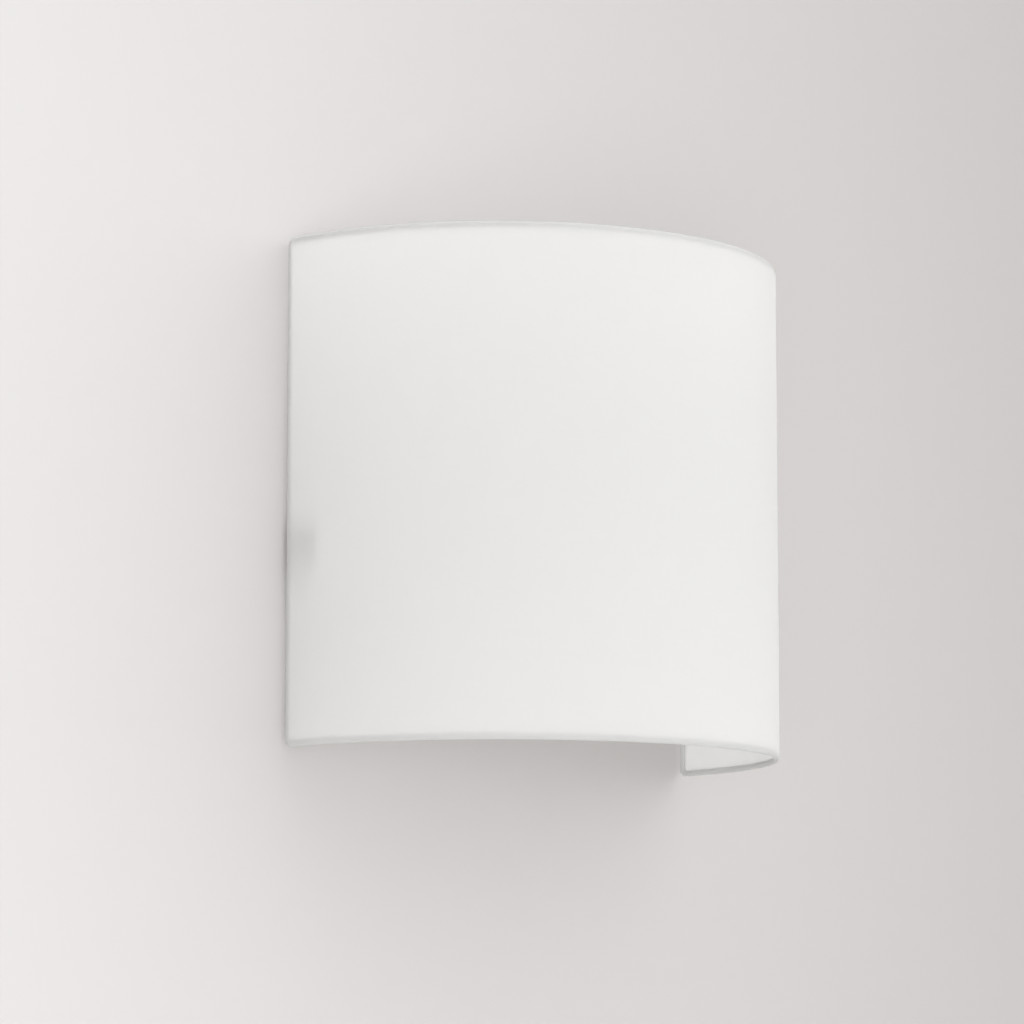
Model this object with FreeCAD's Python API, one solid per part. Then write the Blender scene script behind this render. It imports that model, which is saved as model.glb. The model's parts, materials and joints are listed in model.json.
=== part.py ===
import FreeCAD, Part
import math
import os

# A half-drum fabric wall light, in millimetres.
#
# +X is to the right of someone who faces the wall, +Y runs into the wall and +Z is up.
# The origin lies on the wall, midway between the two wall screws. The shade is a half
# cylinder of fabric on a thin plastic liner, rolled over a wire that runs round its four
# edges. Two thumbscrews hold it to the ears of a wide pressed wall plate, and it pulls
# straight off towards the room. A pan on the plate covers the terminals and carries a
# bent tube with an upright screw-cap lampholder and its lamp.

Vector = FreeCAD.Vector
RIGHT = Vector(1, 0, 0)
BACK = Vector(0, 1, 0)
UP = Vector(0, 0, 1)

# ---- the shade ---------------------------------------------------------------------
shade_width = 250.0
shade_height = 220.0
shade_rise = 24.0          # the shade's middle above the wall screws
wall_gap = 2.0             # between the shade's rolled side edges and the wall
fabric_thickness = 0.5
liner_thickness = 0.5
glue_line = 0.05           # between fabric, liner and wire
wire_diameter = 1.6
corner_bend = 2.5          # centreline radius of the wire at its four corners
liner_margin = 0.1         # between the liner's edge and the rolled hem

# ---- fixing tabs, welded to the upright wires --------------------------------------
tab_thickness = 2.0
tab_height = 18.0
tab_reach = 19.0           # from the tab's rear edge towards the room
tab_corner = 4.0
tab_clearance = 0.1        # between the tab and the hem beside it
foot_height = 14.0         # of the tab's weld foot
foot_depth = 1.8
foot_clearance = 0.3       # round the foot, in the slit in the hem

# ---- the wall plate ----------------------------------------------------------------
sheet = 1.5                # thickness of the plate
bar_height = 24.0          # of the two arms and their ears
ear_depth = 21.0           # from the wall to the ear's front edge
ear_gap = 0.3              # between ear and tab, and between ear and thumbscrew
ear_corner = 4.0
panel_lip = 1.0            # the plate stands out this far round the pan
wall_slot_spacing = 60.0
wall_slot_width = 5.0
wall_slot_length = 14.0
dish_width = 34.0          # raised round boss for the grommet
dish_rise = 2.0
cable_hole = 20.0
bead_radius = 5.0          # stiffening beads pressed into the arms
bead_rise = 1.2
bead_inset = 9.0           # from the pan and from the ears

# ---- thumbscrews -------------------------------------------------------------------
thread_diameter = 4.0
thread_play = 0.05
thumb_from_wall = 13.0
thumb_slot_play = 0.3
thumb_collar_diameter = 11.0
thumb_collar_thickness = 1.2
thumb_head_diameter = 10.0
thumb_head_length = 7.0
thumb_flutes = 20
thumb_flute_depth = 0.35
thumb_tip_inset = 0.3      # the screw's tip ends this far inside the tab's outer face

# ---- the pan that covers the terminals ---------------------------------------------
pan_width = 96.0
pan_height = 112.0
pan_depth = 25.0
pan_wall = 1.0
pan_corner = 10.0
pan_edge = 5.0             # rounding between the pan's front and its sides
pan_screw_rise = 22.0
pan_screw_from_wall = 13.0
screw_head_diameter = 8.0
screw_head_height = 2.4
screw_drive = 4.6          # across the crosshead recess
lug_height = 16.0
lug_reach = 18.5
lug_gap = 0.2              # between a lug and the pan's side

# ---- the arm -----------------------------------------------------------------------
arm_above_edge = 14.0      # the tube's middle above the pan's lower edge
tube_diameter = 10.0
tube_bore = 8.0
tube_bend = 14.0
tube_tail = 6.5            # how far the tube reaches inside the pan
tube_rise = 2.0            # straight run between the tube's bend and the lampholder
tube_play = 0.15
nut_across = 14.0
nut_height = 4.0
washer_diameter = 15.0
washer_thickness = 0.8
washer_teeth = 16
tooth_gap = 1.6            # width of the round gap between two teeth

# ---- the lampholder ----------------------------------------------------------------
lamp_from_wall = 70.0
holder_diameter = 38.0
holder_wall = 2.0
cap_height = 22.0
cap_boss_diameter = 17.0
cap_boss_height = 6.0
cap_shoulder = 13.0        # where the cap's flare ends
tube_in_cap = 7.0
seat_height = 16.0         # the ledge in the cap that the contact carrier rests on
carrier_thickness = 8.0
carrier_play = 0.3
skirt_height = 34.0
skirt_collar = 8.0         # height of the skirt's full-width foot
skirt_taper = 1.8          # how much narrower the skirt is above its foot
socket_play = 0.6          # between the lamp's thread and the skirt
contact_thickness = 0.6
contact_width = 5.0
contact_gap = 0.3          # between the contacts and the lamp

# ---- the lamp ----------------------------------------------------------------------
lamp_diameter = 60.0
lamp_length = 106.0
lamp_seat = 31.0           # the lamp's tip above the lampholder's base
cap_crest_diameter = 26.2
cap_root_diameter = 24.2
thread_pitch = 3.63
thread_turns = 4
shell_inner_diameter = 22.8
tip_diameter = 9.6
tip_height = 2.0
insulator_height = 3.5
shell_height = 20.5
opal_wall = 1.5
joint_drop = 15.0          # the opal dome's edge below its widest point
board_diameter = 44.0
board_thickness = 1.6
chip_size = 3.5
chip_count = 8
chip_circle = 30.0

# ---- terminals and wires -----------------------------------------------------------
pole_pitch = 11.0
block_rise = 34.0          # the block's middle above the wall screws
block_length = 18.0        # along a pole
block_base = 5.0
pole_diameter = 9.2
pole_axis = 7.0            # the pole's bore above the plate
tunnel_diameter = 5.2
tunnel_bore = 3.2
tunnel_length = 15.0
tower_diameter = 6.0
tower_height = 13.5
terminal_screw_diameter = 2.8
terminal_screw_length = 5.0
terminal_screw_spacing = 8.0
terminal_screw_notch = 0.6
tower_play = 0.6           # round a clamping screw in its tower
block_screw_diameter = 2.2
wire_insulation = 2.2      # diameter of each insulated wire
wire_spread = 1.25         # each wire's centre from the tube's own
wire_in_block = 5.0
wire_run = 12.0            # the wires' distance from the wall, inside the pan
wire_in_carrier = 4.0
terminal_spread = 6.0      # the carrier's wire holes from its middle
earth_x = -30.0
earth_drop = 26.0
ring_diameter = 8.0
ring_thickness = 0.8
ring_play = 0.15           # round the earth screw, in the ring and its washer
barrel_diameter = 3.6
barrel_length = 6.0
earth_washer_thickness = 0.6
earth_head_diameter = 7.0

# ---- the cable grommet -------------------------------------------------------------
grommet_bore = 9.0
grommet_flange = 26.0
grommet_lip = 1.5
grommet_nose = 3.0
grommet_nose_diameter = 15.0

# ---- places that several pieces share ----------------------------------------------
skin_radius = shade_width / 2
hem_radius = wire_diameter / 2 + fabric_thickness
ring_radius = skin_radius - hem_radius
stile_y = -(wall_gap + hem_radius)
drum_y = stile_y - corner_bend
corner_high = shade_rise + shade_height / 2 - hem_radius - corner_bend
corner_low = shade_rise - shade_height / 2 + hem_radius + corner_bend
tab_outer = ring_radius - hem_radius - tab_clearance
tab_inner = tab_outer - tab_thickness
ear_outer = tab_inner - ear_gap
ear_inner = ear_outer - sheet
collar_face = ear_inner - ear_gap
thread_radius = thread_diameter / 2
tapped_radius = thread_radius + thread_play
pan_front = -(sheet + pan_depth)
pan_inside = pan_front + pan_wall
lamp_y = -lamp_from_wall
arm_drop = pan_height / 2 - arm_above_edge    # the tube's middle below the wall screws
base_z = -arm_drop + tube_bend + tube_rise    # the lampholder's base
lamp_foot = Vector(0, lamp_y, base_z)


# ---- general shapes ----------------------------------------------------------------
def block(x, y, z):
    """A block between a low and a high value on each axis."""
    corner = Vector(x[0], y[0], z[0])
    return Part.makeBox(x[1] - x[0], y[1] - y[0], z[1] - z[0], corner)


def rod(start, along, radius):
    """A round rod from a point, as long as the vector along."""
    return Part.makeCylinder(radius, along.Length, start, along)


def mirrored(shape):
    """The same shape on the other side of the light's middle plane."""
    return shape.mirror(Vector(0, 0, 0), RIGHT)


def fused(pieces):
    """One solid from pieces that meet."""
    whole = pieces[0].fuse(list(pieces[1:]))
    return whole.removeSplitter()


def loop(start, *steps):
    """A closed wire. A step is the next point, or (via, end) for an arc."""
    edges = []
    here = start
    for step in steps:
        if isinstance(step, tuple):
            via, end = step
            edges.append(Part.Arc(here, via, end).toShape())
        else:
            end = step
            edges.append(Part.LineSegment(here, end).toShape())
        here = end
    if here.distanceToPoint(start) > 1e-6:
        edges.append(Part.LineSegment(here, start).toShape())
    return Part.Wire(edges)


def turned(base, axis, side, outline):
    """Turns a closed outline of (radius, height) points round an axis through base."""
    def place(point):
        return base + side * point[0] + axis * point[1]

    steps = []
    for step in outline:
        if isinstance(step[0], tuple):
            steps.append((place(step[0]), place(step[1])))
        else:
            steps.append(place(step))
    face = Part.Face(loop(*steps))
    return face.revolve(base, axis, 360)


def turned_on_lamp(outline):
    """Turns an outline round the lamp's axis, with heights from the lampholder's base."""
    return turned(lamp_foot, UP, RIGHT, outline)


def rounded_slab(width, height, corner, y):
    """A slab parallel to the wall, centred on the origin, with round corners."""
    w, h = width / 2, height / 2
    s = corner * (1 - math.sqrt(0.5))
    front = y[0]

    def at(x, z):
        return Vector(x, front, z)

    outline = loop(
        at(w, corner - h), at(w, h - corner), (at(w - s, h - s), at(w - corner, h)),
        at(corner - w, h), (at(s - w, h - s), at(-w, h - corner)),
        at(-w, corner - h), (at(s - w, s - h), at(corner - w, -h)),
        at(w - corner, -h), (at(w - s, s - h), at(w, corner - h)))
    return Part.Face(outline).extrude(BACK * (y[1] - y[0]))


def slot(width, length, centre, along, through):
    """A slot-shaped cutter: a flat-sided bar with round ends."""
    half = (length - width) / 2
    ends = [centre - along * half, centre + along * half]
    side = along.cross(through).normalize() * (width / 2)
    face = Part.Face(loop(ends[0] + side, ends[1] + side, ends[1] - side, ends[0] - side))
    bar = face.extrude(through)
    return fused([bar] + [rod(end, through, width / 2) for end in ends])


def bent_path(points, radii):
    """Straight runs joined by tangent arcs, one radius for each inner point."""
    edges = []
    here = points[0]
    for i, radius in enumerate(radii, start=1):
        back = (points[i - 1] - points[i]).normalize()
        on = (points[i + 1] - points[i]).normalize()
        half = back.getAngle(on) / 2
        middle = (back + on).normalize()
        reach = radius / math.tan(half)
        start = points[i] + back * reach
        end = points[i] + on * reach
        crown = points[i] + middle * (radius / math.sin(half) - radius)
        edges.append(Part.LineSegment(here, start).toShape())
        edges.append(Part.Arc(start, crown, end).toShape())
        here = end
    edges.append(Part.LineSegment(here, points[-1]).toShape())
    return Part.Wire(edges)


def piped(path, radius):
    """A round bar along a path of straight runs and arcs."""
    first = path.Edges[0]
    ring = Part.Circle(first.Vertexes[0].Point, first.tangentAt(0), radius)
    return path.makePipeShell([Part.Wire(ring.toShape())], True, False)


def hex_nut(start, along, across, bore):
    """A hexagon nut with its corners turned off on both faces."""
    radius = across / math.sqrt(3)
    side = UP if abs(along.getAngle(UP)) > 0.1 else RIGHT
    other = along.cross(side).normalize()
    corners = []
    for i in range(6):
        angle = math.radians(60 * i + 30)
        corners.append(start + side * (radius * math.cos(angle)) + other * (radius * math.sin(angle)))
    prism = Part.Face(loop(*corners)).extrude(along)
    height = along.Length
    axis = Vector(along).normalize()
    trim = turned(start, axis, side, [
        (0, 0), (across / 2, 0), (radius + 0.1, height * 0.2), (radius + 0.1, height * 0.8),
        (across / 2, height), (0, height)])
    return prism.common(trim).cut(rod(start, along, bore))


def crosshead_screw(seat, inward, shank, diameter=thread_diameter, head=screw_head_diameter):
    """A pan-head screw: seat is the middle of the head's underside, and shank its length."""
    axis = Vector(inward).normalize()
    side = UP if abs(axis.dot(UP)) < 0.5 else RIGHT
    height = screw_head_height * head / screw_head_diameter
    drive = screw_drive * head / screw_head_diameter
    r = head / 2
    body = turned(seat, axis, side, [
        (0, shank), (diameter / 2, shank), (diameter / 2, 0), (r, 0), (r, -height * 0.45),
        ((r * 0.83, -height * 0.84), (r * 0.45, -height)), (0, -height)])
    across = axis.cross(side)
    top = seat - axis * (height + 0.1)
    arms = []
    for a, b in ((side, across), (across, side)):
        corner = a * (drive / 2) + b * (drive * 0.1)
        other = a * (drive / 2) - b * (drive * 0.1)
        face = Part.Face(loop(top + corner, top + other, top - corner, top - other))
        arms.append(face.extrude(axis * (height * 0.55 + 0.1)))
    return body.cut(fused(arms))


# ---- the shade ---------------------------------------------------------------------
def wrapped(edge_section, band_section=None):
    """Carries a section round the four edges of the half drum, as one solid.

    edge_section(corner, outward) gives the section's face at the right-hand end of the
    drum, where corner is the middle of a corner's bend and outward points to the edge.
    band_section() gives the face that fills the middle of the drum's wall.
    """
    pieces = []
    for z, outward in ((corner_high, UP), (corner_low, -UP)):
        corner = Vector(0, drum_y, z)
        end = edge_section(corner, outward)
        pieces.append(end.revolve(Vector(0, drum_y, 0), -UP, 180))
        bend = end.revolve(corner, outward.cross(BACK), 90)
        pieces += [bend, mirrored(bend)]
    stile = edge_section(Vector(0, drum_y, corner_low), BACK).extrude(UP * (corner_high - corner_low))
    pieces += [stile, mirrored(stile)]
    if band_section:
        pieces.append(band_section().revolve(Vector(0, drum_y, 0), -UP, 180))
    return fused(pieces)


def drum_band(inner, outer):
    """The upright strip of the drum's wall between the corners' bends."""
    low = Vector(inner, drum_y, corner_low)
    across = RIGHT * (outer - inner)
    up = UP * (corner_high - corner_low)
    return Part.Face(loop(low, low + across, low + across + up, low + up))


def shade_fabric():
    """The fabric skin, rolled over the wire at its edges, with a slit for each tab."""
    bore = wire_diameter / 2 + glue_line
    skin_inner = skin_radius - fabric_thickness
    meet = math.acos((hem_radius - fabric_thickness) / hem_radius)

    def hem_point(centre, outward, angle):
        return centre + RIGHT * (hem_radius * math.cos(angle)) + outward * (hem_radius * math.sin(angle))

    def section(corner, outward):
        centre = corner + RIGHT * ring_radius + outward * corner_bend
        last = 2 * math.pi - meet
        outline = loop(
            corner + RIGHT * skin_radius, hem_point(centre, outward, 0),
            (hem_point(centre, outward, last / 2), hem_point(centre, outward, last)),
            corner + RIGHT * skin_inner)
        hole = Part.Wire(Part.Circle(centre, outward.cross(RIGHT), bore).toShape())
        return Part.Face(outline).cut(Part.Face(hole)).Faces[0]

    skin = wrapped(section, lambda: drum_band(skin_inner, skin_radius))
    half = foot_height / 2 + foot_clearance
    slit = block((tab_outer - 1, ring_radius - wire_diameter / 2),
                 (stile_y - hem_radius, stile_y + hem_radius), (-half, half))
    return skin.cut([slit, mirrored(slit)])


def shade_liner():
    """The stiff translucent sheet that the fabric is glued to, inside the rolled hem."""
    outer = skin_radius - fabric_thickness - glue_line
    inner = outer - liner_thickness
    reach = corner_bend - hem_radius - liner_margin

    def section(corner, outward):
        start = corner + RIGHT * inner
        across = RIGHT * (outer - inner)
        return Part.Face(loop(start, start + across, start + across + outward * reach, start + outward * reach))

    return wrapped(section, lambda: drum_band(inner, outer))


def shade_wire():
    """One steel wire: two half rings, two uprights and four small corner bends."""
    def section(corner, outward):
        centre = corner + RIGHT * ring_radius + outward * corner_bend
        ring = Part.Circle(centre, outward.cross(RIGHT), wire_diameter / 2)
        return Part.Face(Part.Wire(ring.toShape()))

    return wrapped(section)


def shade_tab():
    """The right-hand fixing tab: a flat ear with a tapped hole and a weld foot."""
    rear = stile_y + foot_depth / 2
    front = rear - tab_reach
    half = tab_height / 2
    s = tab_corner * (1 - math.sqrt(0.5))

    def at(y, z):
        return Vector(tab_inner, y, z)

    outline = loop(
        at(rear, -half), at(rear, half), at(front + tab_corner, half),
        (at(front + s, half - s), at(front, half - tab_corner)), at(front, tab_corner - half),
        (at(front + s, s - half), at(front + tab_corner, -half)))
    plate = Part.Face(outline).extrude(RIGHT * tab_thickness)
    wire_side = ring_radius - wire_diameter / 2 - glue_line
    foot = block((tab_inner, wire_side), (stile_y - foot_depth / 2, rear), (-foot_height / 2, foot_height / 2))
    hole = rod(Vector(tab_inner - 1, -thumb_from_wall, 0), RIGHT * (tab_thickness + 2), tapped_radius)
    return fused([plate, foot]).cut(hole)


def thumbscrew():
    """The right-hand thumbscrew: its fluted head is inside the shade."""
    start = Vector(collar_face, -thumb_from_wall, 0)
    tip = tab_outer - thumb_tip_inset - collar_face
    collar = thumb_collar_diameter / 2
    head = thumb_head_diameter / 2
    back = thumb_collar_thickness
    end = back + thumb_head_length
    body = turned(start, RIGHT, UP, [
        (0, tip), (thread_radius - 0.4, tip), (thread_radius, tip - 0.4), (thread_radius, 0),
        (collar, 0), (collar, -back * 0.6), (collar - back * 0.4, -back), (head, -back),
        (head, -end + 0.8), (head - 0.8, -end), (0, -end)])
    flutes = []
    for i in range(thumb_flutes):
        angle = 2 * math.pi * i / thumb_flutes
        out = BACK * math.cos(angle) + UP * math.sin(angle)
        place = start + out * head - RIGHT * (end + 1)
        flutes.append(rod(place, RIGHT * (thumb_head_length + 1), thumb_flute_depth))
    return body.cut(flutes)


# ---- the wall plate and the pan ----------------------------------------------------
def capsule(x0, x1, y, radius):
    """A rod along X with ball ends."""
    ends = [Vector(x0, y, 0), Vector(x1, y, 0)]
    return fused([rod(ends[0], RIGHT * (x1 - x0), radius)] + [Part.makeSphere(radius, end) for end in ends])


def ear_bar():
    """The plate's arms with an ear bent forward at each end, as one folded strip."""
    out = 2 * sheet                       # outer radius of the fold
    inner = out - sheet
    half = bar_height / 2
    turn = ear_outer - out

    def at(x, y):
        return Vector(x, y, -half)

    def fold(side, radius):
        bend = radius * math.sqrt(0.5)
        return at(side * (turn + bend), -out + bend)

    outline = loop(
        at(ear_outer, -ear_depth), at(ear_outer, -out), (fold(1, out), at(turn, 0)),
        at(-turn, 0), (fold(-1, out), at(-ear_outer, -out)), at(-ear_outer, -ear_depth),
        at(-ear_inner, -ear_depth), at(-ear_inner, -out), (fold(-1, inner), at(-turn, -sheet)),
        at(turn, -sheet), (fold(1, inner), at(ear_inner, -out)), at(ear_inner, -ear_depth))
    bar = Part.Face(outline).extrude(UP * bar_height)
    corners = [e for e in bar.Edges if e.BoundBox.XLength > sheet / 2 and all(
        abs(v.Y + ear_depth) < 1e-6 for v in e.Vertexes)]
    return bar.makeFillet(ear_corner, corners)


def wall_plate():
    """The pressed plate: panel, arms, ears, lugs, raised boss, beads and slots."""
    panel = rounded_slab(pan_width + 2 * panel_lip, pan_height + 2 * panel_lip,
                         pan_corner + panel_lip, (-sheet, 0))
    boss_radius = dish_width / 2
    boss = turned(Vector(0, 0, 0), -BACK, RIGHT, [
        (0, 0), (boss_radius + dish_rise, sheet / 2), (boss_radius + dish_rise, sheet),
        (boss_radius, sheet + dish_rise), (0, sheet + dish_rise)])
    pieces = [panel, ear_bar(), boss]
    lug_outer = pan_width / 2 - pan_wall - lug_gap
    lug_z = (pan_screw_rise - lug_height / 2, pan_screw_rise + lug_height / 2)
    lug = block((lug_outer - sheet, lug_outer), (-lug_reach, -sheet / 2), lug_z)
    pieces += [lug, mirrored(lug)]
    bead_x = (pan_width / 2 + bead_inset, ear_inner - bead_inset)
    bead = capsule(bead_x[0], bead_x[1], bead_radius - bead_rise - sheet, bead_radius)
    front_of_bead = bead.common(block((0, skin_radius), (-2 * bead_radius, -sheet / 2), (-bead_radius, bead_radius)))
    pieces += [front_of_bead, mirrored(front_of_bead)]
    plate = fused(pieces)

    groove = capsule(bead_x[0], bead_x[1], bead_radius - bead_rise, bead_radius)
    recess = turned(Vector(0, 0, 0), -BACK, RIGHT, [
        (0, -1), (boss_radius, -1), (boss_radius, 0), (boss_radius - dish_rise, dish_rise), (0, dish_rise)])
    cuts = [groove, mirrored(groove), recess]
    cuts.append(rod(Vector(0, 1, 0), -BACK * (sheet + dish_rise + 2), cable_hole / 2))
    through = -BACK * (sheet + 2)
    for side in (-1, 1):
        middle = Vector(side * wall_slot_spacing / 2, 1, 0)
        cuts.append(slot(wall_slot_width, wall_slot_length, middle, RIGHT, through))
    window = block((lug_outer - sheet - lug_reach, lug_outer - sheet), (-sheet - 1, 1), lug_z)
    cuts += [window, mirrored(window)]
    pan_thread = rod(Vector(0, -pan_screw_from_wall, pan_screw_rise), RIGHT * skin_radius, tapped_radius)
    thumb_slot = fused([
        rod(Vector(ear_inner - 1, -thumb_from_wall, 0), RIGHT * (sheet + 2), thread_radius + thumb_slot_play),
        block((ear_inner - 1, ear_outer + 1), (-ear_depth - 1, -thumb_from_wall),
              (-thread_radius - thumb_slot_play, thread_radius + thumb_slot_play))])
    cuts += [pan_thread, mirrored(pan_thread), thumb_slot, mirrored(thumb_slot)]
    cuts.append(rod(Vector(earth_x, 1, -earth_drop), through, tapped_radius))
    for side in (-1, 1):
        hole = Vector(side * pole_pitch / 2, 1, block_rise)
        cuts.append(rod(hole, through, block_screw_diameter / 2 + thread_play))
    return plate.cut(cuts)


def pan():
    """The pressed cover: open towards the wall, with a round-edged front."""
    def shell(inset):
        body = rounded_slab(pan_width - 2 * inset, pan_height - 2 * inset, pan_corner - inset,
                            (pan_front + inset, -sheet + (inset > 0)))
        edges = [e for e in body.Edges if all(abs(v.Y - pan_front - inset) < 1e-6 for v in e.Vertexes)]
        return body.makeFillet(pan_edge - inset, edges)

    body = shell(0).cut(shell(pan_wall))
    arm_hole = rod(Vector(0, pan_front - 1, -arm_drop), BACK * (pan_wall + 2), tube_diameter / 2 + tube_play)
    side_hole = rod(Vector(pan_width / 2 - 3, -pan_screw_from_wall, pan_screw_rise), RIGHT * 4,
                    thread_radius + thumb_slot_play)
    return body.cut([arm_hole, side_hole, mirrored(side_hole)])


def pan_screws():
    """Two screws that hold the pan to the plate's lugs."""
    seat = Vector(pan_width / 2, -pan_screw_from_wall, pan_screw_rise)
    screw = crosshead_screw(seat, -RIGHT, pan_wall + lug_gap + sheet + 1)
    return Part.makeCompound([screw, mirrored(screw)])


def cable_grommet():
    """The soft bush that the supply cable comes through."""
    seat = dish_rise
    bore = grommet_bore / 2
    waist = cable_hole / 2 - thread_play
    flange = grommet_flange / 2
    nose = grommet_nose_diameter / 2
    front = seat + sheet + grommet_lip
    return turned(Vector(0, 0, 0), -BACK, RIGHT, [
        (bore, seat - grommet_lip), (flange - 1, seat - grommet_lip), (flange, seat - grommet_lip + 0.5),
        (flange, seat), (waist, seat), (waist, seat + sheet), (flange, seat + sheet),
        (flange, front - 0.5), (flange - 1, front), (nose + 1, front), (nose, front + grommet_nose),
        (bore, front + grommet_nose)])


# ---- the arm -----------------------------------------------------------------------
def arm_path(x=0.0):
    """The route of the tube, from inside the pan to the lampholder, moved sideways by x."""
    points = [Vector(x, pan_inside + tube_tail, -arm_drop), Vector(x, lamp_y, -arm_drop),
              Vector(x, lamp_y, base_z + tube_in_cap)]
    return bent_path(points, [tube_bend])


def arm_tube():
    """The bent steel tube that carries the lampholder and the wires."""
    return piped(arm_path(), tube_diameter / 2).cut(piped(arm_path(), tube_bore / 2))


def arm_washer():
    """A toothed washer between the pan and the inner nut."""
    start = Vector(0, pan_inside, -arm_drop)
    ring = rod(start, BACK * washer_thickness, washer_diameter / 2)
    gaps = []
    for i in range(washer_teeth):
        angle = 2 * math.pi * i / washer_teeth
        out = RIGHT * math.cos(angle) + UP * math.sin(angle)
        place = start + out * (washer_diameter / 2) - BACK
        gaps.append(rod(place, BACK * (washer_thickness + 2), tooth_gap / 2))
    gaps.append(rod(start - BACK, BACK * (washer_thickness + 2), tube_diameter / 2 + tube_play))
    return ring.cut(gaps)


def arm_inner_nut():
    start = Vector(0, pan_inside + washer_thickness, -arm_drop)
    return hex_nut(start, BACK * nut_height, nut_across, tube_diameter / 2 + thread_play)


def arm_outer_nut():
    start = Vector(0, pan_front, -arm_drop)
    return hex_nut(start, -BACK * nut_height, nut_across, tube_diameter / 2 + thread_play)


# ---- the lampholder ----------------------------------------------------------------
def lampholder_cap():
    """The flared base that screws onto the tube."""
    r = holder_diameter / 2
    inner = r - holder_wall
    bore = tube_diameter / 2 + thread_play
    boss = cap_boss_diameter / 2
    ledge = inner - holder_wall
    return turned_on_lamp([
        (bore, 0), (boss - 0.8, 0), (boss, 0.8), (boss, cap_boss_height),
        ((boss + (r - boss) * 0.62, cap_shoulder - 2.6), (r, seat_height)), (r, cap_height),
        (inner, cap_height), (inner, seat_height), (ledge, seat_height),
        (boss, cap_boss_height + holder_wall + 1), (bore, cap_boss_height + holder_wall + 1)])


def lampholder_skirt():
    """The sleeve round the lamp's thread, with a full-width foot on the cap."""
    r = holder_diameter / 2
    bore = cap_crest_diameter / 2 + socket_play
    inner = r - holder_wall
    top = cap_height + skirt_height
    foot = cap_height + skirt_collar
    slim = r - skirt_taper
    return turned_on_lamp([
        (inner, cap_height), (r, cap_height), (r, foot - 1.5), (slim, foot + 0.5), (slim - 0.3, top - 0.8),
        (slim - 1.1, top), (bore + 0.8, top), (bore, top - 1.2), (bore, foot + 1), (inner, foot - 1)])


def lampholder_carrier():
    """The ceramic disc that holds both contacts and takes the wires from below."""
    r = holder_diameter / 2 - holder_wall - carrier_play
    low, high = seat_height, seat_height + carrier_thickness
    disc = turned_on_lamp([(0, low), (r, low), (r, high - 0.8), (r - 0.8, high), (0, high)])
    holes = []
    for side in (-1, 1):
        place = lamp_foot + Vector(side * terminal_spread, 0, low - 1)
        holes.append(rod(place, UP * (wire_in_carrier + 1.5), wire_insulation / 2 + 0.2))
    return disc.cut(holes)


def contact_strip(points):
    """A brass strip of contact_thickness, bent along (x, height) points over the lamp's axis."""
    upper = [lamp_foot + Vector(x, -contact_width / 2, z) for x, z in points]
    lower = [lamp_foot + Vector(x + dx, -contact_width / 2, z + dz)
             for (x, z), (dx, dz) in zip(points, strip_offsets(points))]
    return Part.Face(loop(*(upper + lower[::-1]))).extrude(BACK * contact_width)


def strip_offsets(points):
    """How far the strip's second face lies from its first at each point, square to its runs."""
    runs = []
    for (x0, z0), (x1, z1) in zip(points, points[1:]):
        length = math.hypot(x1 - x0, z1 - z0)
        runs.append(((z1 - z0) / length, -(x1 - x0) / length))
    normals = [runs[0]] + [None] * (len(points) - 2) + [runs[-1]]
    for i in range(1, len(points) - 1):
        (ax, az), (bx, bz) = runs[i - 1], runs[i]
        share = 1 + ax * bx + az * bz
        normals[i] = ((ax + bx) / share, (az + bz) / share)
    return [(nx * contact_thickness, nz * contact_thickness) for nx, nz in normals]


def centre_contact():
    """The sprung tongue under the lamp's tip."""
    floor = seat_height + carrier_thickness + contact_thickness
    top = lamp_seat - contact_gap
    return contact_strip([(-9, floor), (-4, floor), (3, top), (6, top)])


def side_contact():
    """The upright tongue under the edge of the lamp's screw shell."""
    floor = seat_height + carrier_thickness + contact_thickness
    top = lamp_seat + tip_height + insulator_height - contact_gap
    outer = cap_crest_diameter / 2 - 0.2
    return contact_strip([(8.5, floor), (outer - contact_thickness, floor), (outer - contact_thickness, top)])


# ---- the lamp ----------------------------------------------------------------------
def lamp_tip():
    """The lamp's centre contact."""
    r = tip_diameter / 2
    low = lamp_seat
    return turned_on_lamp([(0, low), (r - 1, low), ((r - 0.3, low + 0.3), (r, low + 1)),
                           (r, low + tip_height), (0, low + tip_height)])


def lamp_insulator():
    """The black glass collar between the tip and the screw shell."""
    low = lamp_seat + tip_height
    r = shell_inner_diameter / 2
    return turned_on_lamp([(0, low), (tip_diameter / 2, low), (tip_diameter / 2 + 0.6, low + 0.6),
                           (r, low + insulator_height), (0, low + insulator_height)])


def lamp_screw_shell():
    """The rolled screw shell, with its thread as rounded ridges."""
    low = lamp_seat + tip_height + insulator_height
    root, crest = cap_root_diameter / 2, cap_crest_diameter / 2
    inner = shell_inner_diameter / 2
    outline = [(inner, low), (root, low)]
    for i in range(thread_turns):
        start = low + 1.2 + i * thread_pitch
        outline.append((root, start))
        outline.append(((crest, start + thread_pitch * 0.45), (root, start + thread_pitch * 0.9)))
    high = low + shell_height
    outline += [(root, high - 2), (crest - 0.1, high - 1.4), (crest - 0.1, high), (inner, high)]
    return turned_on_lamp(outline)


def lamp_housing():
    """The lamp's white body, from inside the screw shell up to the opal dome."""
    low = lamp_seat + tip_height + insulator_height
    neck = low + shell_height
    widest = lamp_seat + lamp_length - lamp_diameter / 2
    joint = widest - joint_drop
    rim = math.sqrt((lamp_diameter / 2) ** 2 - joint_drop ** 2)
    spigot = shell_inner_diameter / 2 - thread_play
    crest = cap_crest_diameter / 2
    return turned_on_lamp([
        (0, low + 0.2), (spigot, low + 0.2), (spigot, neck + 0.1), (crest + 0.1, neck + 0.1),
        (crest + 0.5, neck + 6), ((crest + (rim - crest) * 0.34, neck + (joint - neck) * 0.62), (rim, joint)),
        (0, joint)])


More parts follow.
